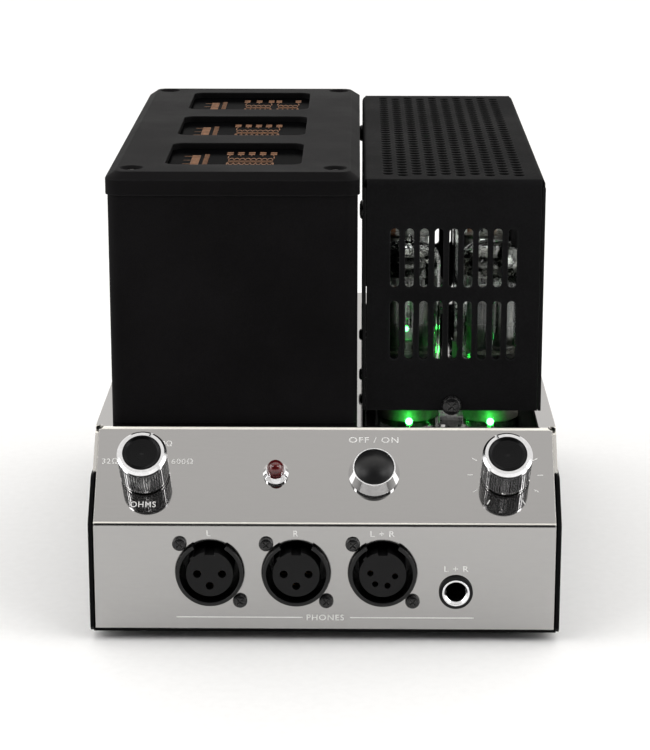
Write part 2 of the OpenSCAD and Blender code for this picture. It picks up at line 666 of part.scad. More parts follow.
module glass(k) {
    high = k < 2 ? driver_h : output_h;
    r = glass_dia / 2;
    dome = fillet([r, 0], [r, high], [0, high], r * 0.62, 10);
    inner = fillet([0, high - glass_wall], [r - glass_wall, high - glass_wall], [r - glass_wall, 0],
        r * 0.62 - glass_wall, 10);
    in_chassis() translate([tube_at[k][0], tube_at[k][1], tube_base]) rotate_extrude()
        polygon(concat([[r - glass_wall, 0], [r, 0]], dome, [[1.6, high], [0.9, high + tube_tip - 0.4], [0, high + tube_tip],
            [0, high - glass_wall]], inner));
}
module driver_tube_left() {
    color("#9fb4ad", 0.5) glass(0);
}
module driver_tube_right() {
    color("#9fb4ad", 0.5) glass(1);
}
module output_tube_left() {
    color("#9fb4ad", 0.5) glass(2);
}
module output_tube_right() {
    color("#9fb4ad", 0.5) glass(3);
}
module tube_electrodes() {
    color("#85878a") in_chassis() for (k = [0 : 3]) translate([tube_at[k][0], tube_at[k][1], tube_base]) {
        anode_h = k < 2 ? 20 : 28;
        wafer_r = glass_dia / 2 - glass_wall - 0.15;
        union() {
            cylinder(r = wafer_r, h = tube_wafer);
            for (a = [0 : 36 : 288]) rotate([0, 0, a + 18]) translate([pin_ring, 0, -6])
                cylinder(r = pin_r, h = 6.1);
            for (s = [-1, 1]) translate([s * 4.6, 0, 1]) cylinder(r = 0.6, h = anode_h + 16);
            for (z = [10, anode_h + 12]) translate([0, 0, z]) cylinder(r = wafer_r - 0.6, h = 0.6);
            for (s = [-1, 1]) translate([s * 4.6, 0, 10]) cylinder(r = 3.4, h = anode_h + 2.2);
            translate([0, 0, anode_h + 12]) cylinder(r = 0.5, h = 5);
            translate([0, 0, anode_h + 17]) rotate_extrude() translate([2.4, 0]) circle(0.5, $fn = 16);
            translate([-2.4, -0.4, anode_h + 16.6]) cube([4.8, 0.8, 0.8]);
        }
    }
}
module tube_sockets() {
    color("#d8d4c8") in_chassis() for (p = tube_at) translate([p[0], p[1], tube_board_z + pcb_t]) difference() {
        cylinder(r = tube_socket_r, h = tube_base - 0.4 - tube_board_z - pcb_t);
        translate([0, 0, -1]) cylinder(r = lamp_bore, h = 30);
        for (a = [0 : 36 : 288]) rotate([0, 0, a + 18]) translate([pin_ring, 0, 2])
            cylinder(r = pin_r + 0.12, h = 30);
    }
}
module tube_board() {
    color("#1f5b3a") in_chassis() difference() {
        translate([cage_x - cage_w / 2 + 2, tube_y - 22, tube_board_z])
            cube([cage_w - 4, tube_pitch_y + 44, pcb_t]);
        for (x = tube_board_xs) for (y = tube_board_ys)
            translate([x, y, tube_board_z - 1]) cylinder(r = screw_r + screw_clear, h = 4);
    }
}
module socket_lights() {
    color("#35e05a") in_chassis() for (p = tube_at) translate([p[0], p[1], tube_board_z + pcb_t]) {
        cylinder(r = lamp_bore - 0.5, h = 4);
        translate([0, 0, 4]) sphere(r = lamp_bore - 0.7);
    }
}

module main_board() {
    color("#1d5236") in_chassis() difference() {
        translate([-board_w / 2, board_y, board_z]) cube([board_w, board_d, pcb_t]);
        for (p = board_holes) translate([p[0], p[1], board_z - 1]) cylinder(r = screw_r + screw_clear, h = 4);
    }
}
module board_standoffs() {
    color("#b9a15a") in_chassis() {
        for (p = board_holes) translate([p[0], p[1], sheet_t]) {
            cylinder(d = 6, h = board_z - sheet_t, $fn = 6);
            cylinder(r = screw_r, h = board_z - sheet_t + pcb_t);
            translate([0, 0, board_z - sheet_t + pcb_t]) cylinder(r = head_r, h = head_h);
        }
        for (x = tube_board_xs) for (y = tube_board_ys) translate([x, y, tube_board_z + pcb_t]) {
            cylinder(d = 6, h = top_z - sheet_t - tube_board_z - pcb_t, $fn = 6);
            translate([0, 0, -pcb_t]) cylinder(r = screw_r, h = 3);
            translate([0, 0, -pcb_t - head_h]) cylinder(r = head_r, h = head_h);
        }
    }
}
module capacitors() {
    floor_z = board_z + pcb_t;
    color("#23314f") in_chassis() {
        for (x = [-52, -26]) for (y = [board_y + 22, board_y + 50]) translate([x, y, floor_z])
            rotate_extrude() polygon([[0, 0], [10.4, 0], [10.4, 1.6], [11, 2.4], [11, 35], [10.2, 36], [0, 36]]);
        for (x = [14, 34, 54]) for (y = [board_y + 20, board_y + 112]) translate([x, y, floor_z])
            cylinder(r = 6, h = 20);
        for (x = [10, 30, 50]) translate([x - 7, board_y + 44, floor_z]) cube([14, 30, 20]);
    }
}
module heat_sink() {
    color("#222326") in_chassis() translate([-56, board_y + 84, board_z + pcb_t]) {
        cube([46, 4, 30]);
        for (x = [0 : 5 : 45]) translate([x, 3.9, 0]) cube([1.2, 14, 30]);
    }
}

// A round audio socket, drawn with its rim out of the panel's face
module socket_shell() {
    outer = socket_dia / 2;
    bore = socket_bore / 2;
    difference() {
        union() {
            translate([0, 0, -socket_depth]) cylinder(r = outer, h = socket_depth + socket_lip);
            translate([-socket_flange / 2, -socket_flange / 2, -sheet_t - 2])
                cube([socket_flange, socket_flange, 1.95]);
        }
        translate([0, 0, -15]) cylinder(r = bore, h = 30);
        translate([0, 0, -socket_depth - 1]) cylinder(r = insert_dia / 2 + 0.05, h = 30);
        translate([0, 0, -3]) linear_extrude(10) polygon([[0, 0], for (a = [-30 : 10 : 30]) 14 * [sin(a), cos(a)]]);
        for (s = [-1, 1]) translate([-s * socket_screw, s * socket_screw, -8])
            cylinder(r = small_screw_r + 0.05, h = 8);
    }
}
module socket_insert(pins, hole) {
    r = insert_dia / 2;
    difference() {
        union() {
            translate([0, 0, -socket_depth - 1]) cylinder(r = r, h = socket_depth + 1 + insert_face);
            rotate([0, 0, 137]) translate([r - 0.3, -0.7, -14.5]) cube([0.9, 1.4, 14.5 + insert_face]);
        }
        translate([-1.6, r - 1.1, -14.5]) cube([3.2, 3, 15.5 + insert_face]);
        for (a = pins) rotate([0, 0, a]) translate([pin_circle, 0, 0]) {
            translate([0, 0, -3]) cylinder(r = hole / 2, h = 4 + insert_face);
            translate([0, 0, -socket_depth - 2]) cylinder(r = contact_r + 0.05, h = socket_depth);
        }
    }
}
module socket_pins(pins, hole) {
    for (a = pins) rotate([0, 0, a]) translate([pin_circle, 0, 0]) difference() {
        translate([0, 0, -socket_depth - 5]) cylinder(r = contact_r, h = socket_depth + 2.9);
        translate([0, 0, -15]) cylinder(r = hole / 2 - 0.12, h = 20);
        translate([-3, 0.4, -socket_depth - 6]) cube([6, 3, 3.6]);
    }
}
module headphone_socket_left() {
    color("#131315") on_front(socket_xs[0], socket_z) socket_shell();
}
module headphone_socket_right() {
    color("#131315") on_front(socket_xs[1], socket_z) socket_shell();
}
module headphone_socket_stereo() {
    color("#131315") on_front(socket_xs[2], socket_z) socket_shell();
}
module input_socket_left() {
    color("#131315") on_rear(input_xs[0], input_z) socket_shell();
}
module input_socket_right() {
    color("#131315") on_rear(input_xs[1], input_z) socket_shell();
}
module socket_inserts() {
    color("#242427") {
        for (k = [0, 1]) on_front(socket_xs[k], socket_z) socket_insert(three_pins, 2.7);
        on_front(socket_xs[2], socket_z) socket_insert(four_pins, 2.1);
        for (x = input_xs) on_rear(x, input_z) socket_insert(three_pins, 2.7);
    }
}
module socket_contacts() {
    color("#c9a14a") {
        for (k = [0, 1]) on_front(socket_xs[k], socket_z) socket_pins(three_pins, 2.7);
        on_front(socket_xs[2], socket_z) socket_pins(four_pins, 2.1);
        for (x = input_xs) on_rear(x, input_z) socket_pins(three_pins, 2.7);
    }
}
module socket_screw_pair() {
    for (s = [-1, 1]) translate([-s * socket_screw, s * socket_screw, 0])
        pan_screw(small_screw_r, small_head_r, 1.6, 5);
}
module socket_screws() {
    color("#0c0c0e") {
        for (x = socket_xs) on_front(x, socket_z) socket_screw_pair();
        for (x = input_xs) on_rear(x, input_z) socket_screw_pair();
    }
}

module headphone_jack() {
    color("#c9c9cb") on_front(jack_x, jack_z) difference() {
        union() {
            translate([-jack_body / 2, -jack_body / 2, -28]) cube([jack_body, jack_body, 28 - sheet_t - 0.05]);
            translate([0, 0, -2]) cylinder(r = jack_thread_r, h = 3.4);
        }
        translate([0, 0, -26]) cylinder(d = jack_bore, h = 40);
        translate([0, 0, 0.7]) cylinder(d1 = jack_bore, d2 = jack_bore + 1.5, h = 0.75);
    }
}
module jack_nut() {
    color("#141416") on_front(jack_x, jack_z) difference() {
        cylinder(r = jack_nut_r, h = 1.1);
        translate([0, 0, -1]) cylinder(r = jack_thread_r + 0.05, h = 5);
    }
}

module lamp_jewel() {
    r = jewel_dia / 2;
    color("#8f1d20") on_slope(-centre_x) union() {
        translate([0, 0, -8]) cylinder(r = r, h = 12.6);
        translate([0, 0, 4.6]) intersection() {
            translate([0, 0, -0.3]) sphere(r = r + 0.05);
            cylinder(r = r, h = 4);
        }
    }
}
module lamp_bezel() {
    color("#cfd0d2") on_slope(-centre_x) difference() {
        union() {
            translate([0, 0, -9]) cylinder(r = lamp_stem_r, h = 10);
            cylinder(r = lamp_bezel_r, h = 1);
            translate([0, 0, 1]) cylinder(r1 = lamp_bezel_r, r2 = lamp_bezel_r - 1, h = 1.8);
        }
        translate([0, 0, -10]) cylinder(r = jewel_dia / 2 + 0.05, h = 20);
    }
}
module button_bezel() {
    color("#cfd0d2") on_slope(centre_x) difference() {
        union() {
            translate([0, 0, -bezel_depth]) cylinder(r = bezel_stem, h = bezel_depth + 0.5);
            cylinder(r = bezel_r, h = 1);
            translate([0, 0, 1]) cylinder(r1 = bezel_r, r2 = button_dia / 2 + button_clear + 0.4, h = bezel_h - 1);
        }
        translate([0, 0, -bezel_depth - 1]) cylinder(r = button_dia / 2 + button_clear, h = 30);
    }
}
module standby_button() {
    r = button_dia / 2;
    rise = button_h - bezel_h;
    ball = (r * r + rise * rise) / (2 * rise);
    color("#1a1a1c") on_slope(centre_x) union() {
        translate([0, 0, -button_skirt]) cylinder(r = r, h = button_skirt + bezel_h);
        intersection() {
            translate([0, 0, button_h - ball]) sphere(r = ball, $fn = 96);
            translate([0, 0, bezel_h - 0.1]) cylinder(r = r, h = rise + 1);
        }
        translate([0, 0, -button_skirt - 8]) cylinder(r = stem_r, h = 8.1);
    }
}
module standby_switch() {
    color("#2c2c30") on_slope(centre_x) difference() {
        translate([-switch_w / 2, -switch_w / 2, -bezel_depth - 16]) cube([switch_w, switch_w, 16]);
        translate([0, 0, -bezel_depth - 10]) cylinder(r = stem_r + 0.2, h = 12);
    }
}

// A knurled knob and its pieces, pointing up the panel
module knob_body() {
    r = knob_dia / 2;
    ridges = 60;
    difference() {
        union() {
            translate([0, 0, knob_gap]) cylinder(r = r - 0.35, h = 1.2);
            translate([0, 0, knob_gap + 1.1]) linear_extrude(knob_len - 4) difference() {
                circle(r);
                for (i = [0 : ridges - 1]) rotate(i * 360 / ridges) translate([r + 0.1, 0]) rotate(45)
                    square(0.62, center = true);
            }
            translate([0, 0, knob_tip - 3]) cylinder(r = r - 0.5, h = 1.2);
            translate([0, 0, knob_tip - 2]) rotate_extrude()
                polygon([[0, 0], [r, 0], [r, 2 - knob_chamfer],
                    [r - knob_chamfer, 2], [0, 2]]);
        }
        translate([0, 0, knob_gap - 1]) cylinder(r = knob_recess_r, h = knob_recess_h - knob_gap + 1);
        translate([0, 0, 2]) cylinder(r = shaft_dia / 2 + 0.02, h = knob_tip - 5);
        translate([0, 0, knob_tip - disc_t]) cylinder(r = disc_r + 0.03, h = 2);
        translate([-0.45, r - 1.7, knob_tip - disc_t]) cube([0.9, 3, 2]);
    }
}
module knob_disc() {
    translate([0, 0, knob_tip - disc_t]) rotate_extrude()
        polygon([[0, 0], [disc_r, 0], [disc_r, disc_t + 0.1], [disc_r - 0.4, disc_t + 0.1],
            [disc_r - 1.2, disc_t - 0.25], [0, disc_t - 0.35]]);
}
module control_shaft() {
    difference() {
        translate([0, 0, -11]) cylinder(d = shaft_dia, h = 11 + knob_tip - 3.4);
        translate([-4, shaft_dia / 2 - 1.4, bush_h + 1.4]) cube([8, 3, 20]);
    }
}
module control_body(deep) {
    difference() {
        union() {
            translate([0, 0, -sheet_t - 0.05 - deep]) cylinder(r = control_r, h = deep);
            translate([0, 0, -3]) cylinder(r = bush_r, h = 3 + bush_h);
            for (a = [150, 180, 210]) rotate([0, 0, a]) translate([control_r - 0.5, -1, -deep + 2])
                cube([3, 2, 0.6]);
        }
        translate([0, 0, -12]) cylinder(d = shaft_dia + 2 * shaft_clear, h = 40);
    }
}
module load_knob() {
    color("#8e9094") on_slope(-knob_x) rotate([0, 0, load_pointer]) knob_body();
}
module load_knob_disc() {
    color("#0f0f11") on_slope(-knob_x) knob_disc();
}
module load_shaft() {
    color("#c8c9cb") on_slope(-knob_x) rotate([0, 0, load_pointer]) control_shaft();
}
module load_switch() {
    color("#3b3d42") on_slope(-knob_x) control_body(control_deep);
}
module volume_knob() {
    color("#8e9094") on_slope(knob_x) rotate([0, 0, volume_pointer]) knob_body();
}
module volume_knob_disc() {
    color("#0f0f11") on_slope(knob_x) knob_disc();
}
module volume_shaft() {
    color("#c8c9cb") on_slope(knob_x) rotate([0, 0, volume_pointer]) control_shaft();
}
module volume_control() {
    color("#3b3d42") on_slope(knob_x) control_body(control_deep + 2);
}
module control_nuts() {
    color("#b4b6b9") {
        for (x = [-knob_x, knob_x]) on_slope(x) hex_nut(nut_flats, bush_r + 0.03, nut_h);
        on_slope(centre_x) translate([0, 0, -sheet_t - 2.2]) hex_nut(2 * bezel_stem + 3.8, bezel_stem + 0.03, 2.15);
        on_slope(-centre_x) translate([0, 0, -sheet_t - 2.2]) hex_nut(2 * lamp_stem_r + 2.8, lamp_stem_r + 0.03, 2.15);
    }
}

module mains_inlet() {
    color("#141416") on_rear(inlet_x, inlet_z) {
        difference() {
            union() {
                linear_extrude(2) difference() {
                    rounded_rect(inlet_flange, inlet_h, 4);
                    for (s = [-1, 1]) translate([s * inlet_screw, 0]) circle(screw_r + screw_clear);
                }
                translate([-inlet_w / 2, -inlet_h / 2 + 1, -27]) cube([inlet_w, inlet_h - 2, 28]);
            }
            translate([0, 5, -17]) linear_extrude(30) polygon(inlet_outline());
            translate([-drawer_w / 2 - drawer_clear, -drawer_drop - drawer_h / 2 - drawer_clear, -drawer_len - 1])
                cube([drawer_w + 2 * drawer_clear, drawer_h + 2 * drawer_clear, 40]);
        }
        for (p = [[-7, 3], [7, 3], [0, 7]]) translate([p[0] - 2, p[1] - 1, -17.1]) cube([4, 2, 16]);
        for (s = [-1, 1]) translate([s * inlet_screw, 0, 2]) pan_screw(screw_r, head_r, head_h, 6);
    }
}
function inlet_outline() =
    let (w = inlet_cavity[0] / 2, h = inlet_cavity[1] / 2)
    [[-w, -h], [w, -h], [w, h - 5], [w - 5, h], [5 - w, h], [-w, h - 5]];
module fuse_drawer() {
    color("#1c1c1f") on_rear(inlet_x, inlet_z) translate([0, -drawer_drop, 0]) difference() {
        union() {
            translate([-drawer_w / 2, -drawer_h / 2, -drawer_len]) cube([drawer_w, drawer_h, drawer_len + 2.2]);
            translate([-5, -drawer_h / 2, 2.1]) cube([10, 1.4, 1.4]);
        }
        translate([-drawer_w / 2 + 2, -drawer_h / 2 + 1.2, -drawer_len + 2]) cube([drawer_w - 4, drawer_h, 17]);
    }
}
module phono_sockets() {
    color("#c8a24c") for (z = phono_zs) on_rear(phono_x, z) {
        difference() {
            union() {
                translate([0, 0, -8]) cylinder(r = phono_r, h = 8 + phono_reach);
                cylinder(r = phono_flange, h = 1.2);
            }
            translate([0, 0, 1.2]) cylinder(r = 3.4, h = 12);
            translate([0, 0, -9]) cylinder(r = 2.25, h = 12);
        }
        difference() {
            translate([0, 0, -12]) cylinder(r = 2.2, h = 12 + phono_reach - 1.4);
            translate([0, 0, -5]) cylinder(r = 1.65, h = 14);
        }
    }
}
module mode_switch() {
    color("#b9bbbe") on_rear(toggle_x, toggle_z) difference() {
        union() {
            translate([-4, -6.5, -13]) cube([8, 13, 13 - sheet_t - 0.05]);
            translate([0, 0, -2]) cylinder(r = 3, h = 2 + toggle_bush);
            hex_nut(8, 2.5, 1.8);
        }
        translate([0, 0, -pivot_depth]) sphere(r = 2.1);
        translate([0, 0, -pivot_depth]) cylinder(r1 = 1.6, r2 = 2.75, h = toggle_bush + pivot_depth + 0.1);
        translate([-2, -3.4, -9]) cube([4, 6.8, 7]);
    }
}
module mode_lever() {
    color("#c9cacc") on_rear(toggle_x, toggle_z) translate([0, 0, -pivot_depth]) rotate([lever_tilt, 0, 0])
        rotate_extrude() polygon([[0, -5], [0.9, -5], [0.9, -1.6], [1.75, -0.9], [1.75, 0.9], [0.9, 1.6],
            [1.1, 6.5], [1.3, 7.6], [0.8, 8.2], [0, 8.3]]);
}

base_tray();
chassis_shell();
rear_panel();
feet();
foot_screws();
case_screws();
transformer_box();
transformer_cap();
cap_screws();
window_plates();
output_transformer_left();
output_transformer_right();
power_transformer();
transformer_coils();
transformer_straps();
tube_cage();
cage_brackets();
cage_screws();
cage_side_screws();
driver_tube_left();
driver_tube_right();
output_tube_left();
output_tube_right();
tube_electrodes();
tube_sockets();
tube_board();
socket_lights();
main_board();
board_standoffs();
capacitors();
heat_sink();
headphone_socket_left();
headphone_socket_right();
headphone_socket_stereo();
input_socket_left();
input_socket_right();
socket_inserts();
socket_contacts();
socket_screws();
headphone_jack();
jack_nut();
lamp_jewel();
lamp_bezel();
button_bezel();
standby_button();
standby_switch();
load_knob();
load_knob_disc();
load_shaft();
load_switch();
volume_knob();
volume_knob_disc();
volume_shaft();
volume_control();
control_nuts();
mains_inlet();
fuse_drawer();
phono_sockets();
mode_switch();
mode_lever();
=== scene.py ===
import math

import bmesh
import bpy
from mathutils import Matrix, Vector


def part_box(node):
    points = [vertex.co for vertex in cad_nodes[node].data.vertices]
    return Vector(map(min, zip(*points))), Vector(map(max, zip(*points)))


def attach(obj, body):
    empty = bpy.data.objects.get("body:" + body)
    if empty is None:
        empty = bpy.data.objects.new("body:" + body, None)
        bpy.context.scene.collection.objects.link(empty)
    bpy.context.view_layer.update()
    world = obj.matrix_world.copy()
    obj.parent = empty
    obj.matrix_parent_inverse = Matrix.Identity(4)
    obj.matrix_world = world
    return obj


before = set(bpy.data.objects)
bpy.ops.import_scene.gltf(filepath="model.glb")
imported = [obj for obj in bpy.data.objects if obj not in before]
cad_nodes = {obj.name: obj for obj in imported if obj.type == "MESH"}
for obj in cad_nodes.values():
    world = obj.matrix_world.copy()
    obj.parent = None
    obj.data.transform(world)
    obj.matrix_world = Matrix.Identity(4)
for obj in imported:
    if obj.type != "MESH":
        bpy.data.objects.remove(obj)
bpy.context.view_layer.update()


# Feet. Four moulded rubber pads carry the amplifier, each held under the tray by a zinc-plated
# pan-head screw sunk in its middle. The rubber is matt and picks up pale dust; the screws are
# bright metal with a slightly cloudy plating.
def put(tree, kind, values=(), **settings):
    """One shader node, with its sockets linked or set and its settings made."""
    made = tree.nodes.new("ShaderNode" + kind)
    for key, value in settings.items():
        setattr(made, key, value)
    for key, value in dict(values).items():
        if isinstance(value, bpy.types.NodeSocket):
            tree.links.new(value, made.inputs[key])
        else:
            made.inputs[key].default_value = value
    return made


def new_group(name, inputs, outputs):
    """An empty shader node group and the sockets at its two ends."""
    tree = bpy.data.node_groups.new(name, "ShaderNodeTree")
    for label, kind in inputs:
        tree.interface.new_socket(label, in_out="INPUT", socket_type="NodeSocket" + kind)
    for label, kind in outputs:
        tree.interface.new_socket(label, in_out="OUTPUT", socket_type="NodeSocket" + kind)
    given = tree.nodes.new("NodeGroupInput").outputs
    result = tree.nodes.new("NodeGroupOutput").inputs
    return tree, given, result


def join(tree, socket, target):
    """Carries a node's result to a socket."""
    tree.links.new(socket, target)


def mixed(tree, mask, first, second):
    """The colour between two colours that a mask picks."""
    return put(tree, "Mix", {0: mask, 6: first, 7: second}, data_type="RGBA").outputs[2]


def spread(tree, value, low, high, to_low, to_high):
    """A value carried from one range to another, held at its ends."""
    reach = {"Value": value, "From Min": low, "From Max": high, "To Min": to_low, "To Max": to_high}
    return put(tree, "MapRange", reach).outputs[0]


# The grain that every finish has: fine bumps, slow patches of tone and a gloss that wanders.
surface_grain, given, result = new_group(
    "surface_grain",
    [("Grain", "Float"), ("Stretch", "Vector"), ("Patch", "Float"), ("Tone", "Color"), ("Pale", "Color"),
     ("Smooth", "Float"), ("Rough", "Float")],
    [("Colour", "Color"), ("Roughness", "Float"), ("Height", "Float")],
)
place = put(surface_grain, "TexCoord").outputs["Object"]
drawn = put(surface_grain, "VectorMath", {0: place, 1: given["Stretch"]}, operation="MULTIPLY").outputs[0]
fine = put(surface_grain, "TexNoise", {"Vector": drawn, "Scale": given["Grain"], "Detail": 3.0,
                                       "Roughness": 0.6}).outputs[0]
cells = put(surface_grain, "TexVoronoi", {"Vector": drawn, "Scale": given["Grain"]}).outputs[0]
patch = put(surface_grain, "TexNoise", {"Vector": place, "Scale": given["Patch"], "Detail": 5.0,
                                        "Roughness": 0.62}).outputs[0]
both = put(surface_grain, "Math", {0: fine, 1: patch}, operation="ADD").outputs[0]
tone_mask = spread(surface_grain, both, 0.82, 1.2, 0.0, 1.0)
join(surface_grain, mixed(surface_grain, tone_mask, given["Tone"], given["Pale"]), result["Colour"])
gloss = put(surface_grain, "MapRange", {"Value": both, "From Min": 0.8, "From Max": 1.2,
                                        "To Min": given["Smooth"], "To Max": given["Rough"]})
join(surface_grain, gloss.outputs[0], result["Roughness"])
bumps = put(surface_grain, "Math", {0: cells, 1: 0.6, 2: fine}, operation="MULTIPLY_ADD")
join(surface_grain, bumps.outputs[0], result["Height"])

# Rounded edges: real sheet and turned parts have no knife edges; their colour is lightened, as wear and as
# painted highlight.
rounded_edges, given, result = new_group(
    "rounded_edges", [("Radius", "Float")], [("Normal", "Vector"), ("Edge", "Float")])
bent = put(rounded_edges, "Bevel", {"Radius": given["Radius"]}, samples=4).outputs[0]
true = put(rounded_edges, "NewGeometry").outputs["Normal"]
alike = put(rounded_edges, "VectorMath", {0: bent, 1: true}, operation="DOT_PRODUCT").outputs["Value"]
join(rounded_edges, bent, result["Normal"])
join(rounded_edges, spread(rounded_edges, alike, 0.995, 0.86, 0.0, 1.0), result["Edge"])


def finish(name, tone, pale, smooth, rough, grain=2500.0, stretch=(1.0, 1.0, 1.0), patch=40.0,
           relief=0.00002, edge=0.0003, edge_wear_and_highlight=None, **fixed):
    """A finish whose tone, gloss and relief wander, and whose edges are rounded and lightened: partly wear,
    partly a painted highlight.
    """
    material = bpy.data.materials.new(name)
    material.use_nodes = True
    tree = material.node_tree
    shader = tree.nodes["Principled BSDF"]
    skin = put(tree, "Group", node_tree=surface_grain)
    for key, value in (("Grain", grain), ("Stretch", stretch), ("Patch", patch), ("Tone", (*tone, 1.0)),
                       ("Pale", (*pale, 1.0)), ("Smooth", smooth), ("Rough", rough)):
        skin.inputs[key].default_value = value
    rim = put(tree, "Group", node_tree=rounded_edges)
    rim.inputs["Radius"].default_value = edge
    share = put(tree, "Math", {0: rim.outputs["Edge"], 1: 0.5}, operation="MULTIPLY").outputs[0]
    # Edges are mixed towards the edge colour: partly wear, partly a painted highlight along them.
    colour = mixed(tree, share, skin.outputs["Colour"], (*(edge_wear_and_highlight or pale), 1.0))
    relief_node = put(tree, "Bump", {"Strength": 0.6, "Distance": relief, "Height": skin.outputs["Height"],
                                     "Normal": rim.outputs["Normal"]})
    join(tree, colour, shader.inputs["Base Color"])
    join(tree, skin.outputs["Roughness"], shader.inputs["Roughness"])
    join(tree, relief_node.outputs[0], shader.inputs["Normal"])
    for key, value in fixed.items():
        shader.inputs[key.replace("_", " ")].default_value = value
    material.diffuse_color = (*tone, 1.0)
    return material


def paint(material, *names):
    """Gives CAD nodes their finish."""
    for name in names:
        mesh = cad_nodes[name].data
        mesh.materials.clear()
        mesh.materials.append(material)


rubber = finish("foot_rubber", (0.012, 0.012, 0.012), (0.03, 0.029, 0.028), 0.75, 0.9, grain=1800.0,
                relief=0.00003, edge=0.0006)
zinc = finish("zinc_plating", (0.42, 0.42, 0.43), (0.56, 0.56, 0.54), 0.24, 0.42, grain=900.0,
              patch=150.0, relief=0.000004, edge=0.0002, Metallic=1.0)
paint(rubber, "feet")
paint(zinc, "foot_screws")


# Tray. One steel sheet folded up at both sides, with long vents under the boards, powder coated
# in satin black. Black-oxide screws through its floor and the rear panel hold the case together.
tray_coat = finish("tray_powder_coat", (0.0022, 0.0022, 0.0024), (0.0038, 0.0038, 0.004), 0.36, 0.5,
                   grain=1500.0, relief=0.000012, edge=0.0004, edge_wear_and_highlight=(0.02, 0.02, 0.02),
                   Specular_IOR_Level=0.04)
# The light edge colour is bare metal rubbed through and a painted highlight on the cross recesses.
black_oxide = finish("black_oxide", (0.004, 0.004, 0.0045), (0.011, 0.011, 0.0115), 0.2, 0.34, grain=1400.0,
                     patch=300.0, relief=0.000006, edge=0.00018, edge_wear_and_highlight=(0.3, 0.29, 0.28), Metallic=0.4,
                     Specular_IOR_Level=0.6)
paint(tray_coat, "base_tray", "rear_panel")
paint(black_oxide, "case_screws", "cap_screws", "cage_screws", "cage_side_screws", "socket_screws")


# Boards. Green glass-fibre boards on brass and zinc standoffs carry the power supply: sleeved
# electrolytic cans, film capacitors and an anodised heat sink. They show only through the vents.
board_green = finish("solder_mask", (0.012, 0.08, 0.04), (0.03, 0.14, 0.075), 0.25, 0.45, grain=500.0,
                     stretch=(1.0, 6.0, 1.0), patch=220.0, relief=0.00001)
can_sleeve = finish("can_sleeve", (0.01, 0.016, 0.05), (0.03, 0.045, 0.1), 0.25, 0.4, grain=700.0,
                    patch=90.0, relief=0.000006, edge_wear_and_highlight=(0.2, 0.2, 0.22))
sink_black = finish("anodised_black", (0.008, 0.008, 0.009), (0.018, 0.018, 0.02), 0.35, 0.5,
                    grain=1200.0, stretch=(1.0, 1.0, 0.05), relief=0.000008, Metallic=0.7)
paint(board_green, "main_board", "tube_board")
paint(can_sleeve, "capacitors")
paint(sink_black, "heat_sink")
paint(zinc, "board_standoffs")


# Chassis. One sheet of steel, bent twice across the front and mirror polished, with a faint grain
# left by the polishing wheel. It drops between the tray walls and is screwed down underneath.
polished = finish("polished_steel", (0.39, 0.384, 0.378), (0.398, 0.391, 0.385), 0.05, 0.065,
                  grain=1600.0, stretch=(0.08, 1.0, 1.0), patch=9.0, relief=0.0000002, edge=0.0005,
                  edge_wear_and_highlight=(0.62, 0.6, 0.55), Metallic=1.0)
# Painted highlight: where the normal tilts up and forward at the two front bends, the steel is painted pale
# and less metallic.
painted_bend_highlight, given, result = new_group("painted_bend_highlight", [], [("BendHighlight", "Float")])
facing = put(painted_bend_highlight, "TexCoord").outputs["Normal"]
tilt = put(painted_bend_highlight, "SeparateXYZ", {0: facing}).outputs
upper_in = spread(painted_bend_highlight, tilt[2], 0.715, 0.76, 0.0, 1.0)
upper_out = spread(painted_bend_highlight, tilt[2], 0.95, 0.995, 1.0, 0.0)
lower_in = spread(painted_bend_highlight, tilt[2], 0.45, 0.58, 0.0, 1.0)
lower_out = spread(painted_bend_highlight, tilt[2], 0.66, 0.7, 1.0, 0.0)
forward = spread(painted_bend_highlight, tilt[1], -0.2, -0.1, 1.0, 0.0)
upper = put(painted_bend_highlight, "Math", {0: upper_in, 1: upper_out}, operation="MULTIPLY").outputs[0]
lower = put(painted_bend_highlight, "Math", {0: lower_in, 1: lower_out}, operation="MULTIPLY").outputs[0]
both = put(painted_bend_highlight, "Math", {0: upper, 1: lower}, operation="MAXIMUM").outputs[0]
bent = put(painted_bend_highlight, "Math", {0: both, 1: forward}, operation="MULTIPLY").outputs[0]
join(painted_bend_highlight, bent, result["BendHighlight"])
tree = polished.node_tree
shader = tree.nodes["Principled BSDF"]
# The bend mask paints a pale highlight line on the steel's bends.
bend = put(tree, "Group", node_tree=painted_bend_highlight).outputs["BendHighlight"]
flat_tone = shader.inputs["Base Color"].links[0].from_socket
flat_gloss = shader.inputs["Roughness"].links[0].from_socket
join(tree, mixed(tree, bend, flat_tone, (1.0, 0.97, 0.89, 1.0)), shader.inputs["Base Color"])
dull = put(tree, "Math", {0: bend, 1: 0.3, 2: flat_gloss}, operation="MULTIPLY_ADD").outputs[0]
join(tree, dull, shader.inputs["Roughness"])
join(tree, spread(tree, bend, 0.0, 1.0, 1.0, 0.05), shader.inputs["Metallic"])
paint(polished, "chassis_shell")


# Legends. White ink is screen printed on the steel beside the controls and sockets: plain generic
# words, the numbers of the load dial and the marks round the volume knob. Each is a thin film.
front_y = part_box("base_tray")[0].y
tray_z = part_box("base_tray")[0].z
bend_z = 0.0375
slope = math.radians(45)
controls_up = 0.0187
dial_low, dial_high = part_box("volume_knob_disc")
knob_out = (dial_low.x + dial_high.x) / 2
ink_film = 0.00004


def turned(x_axis, y_axis, spot):
    """The place of a flat drawing whose own x and y run along these directions."""
    out = Vector(x_axis).cross(Vector(y_axis))
    columns = Matrix((x_axis, y_axis, out)).transposed()
    return Matrix.Translation(spot) @ columns.to_4x4()


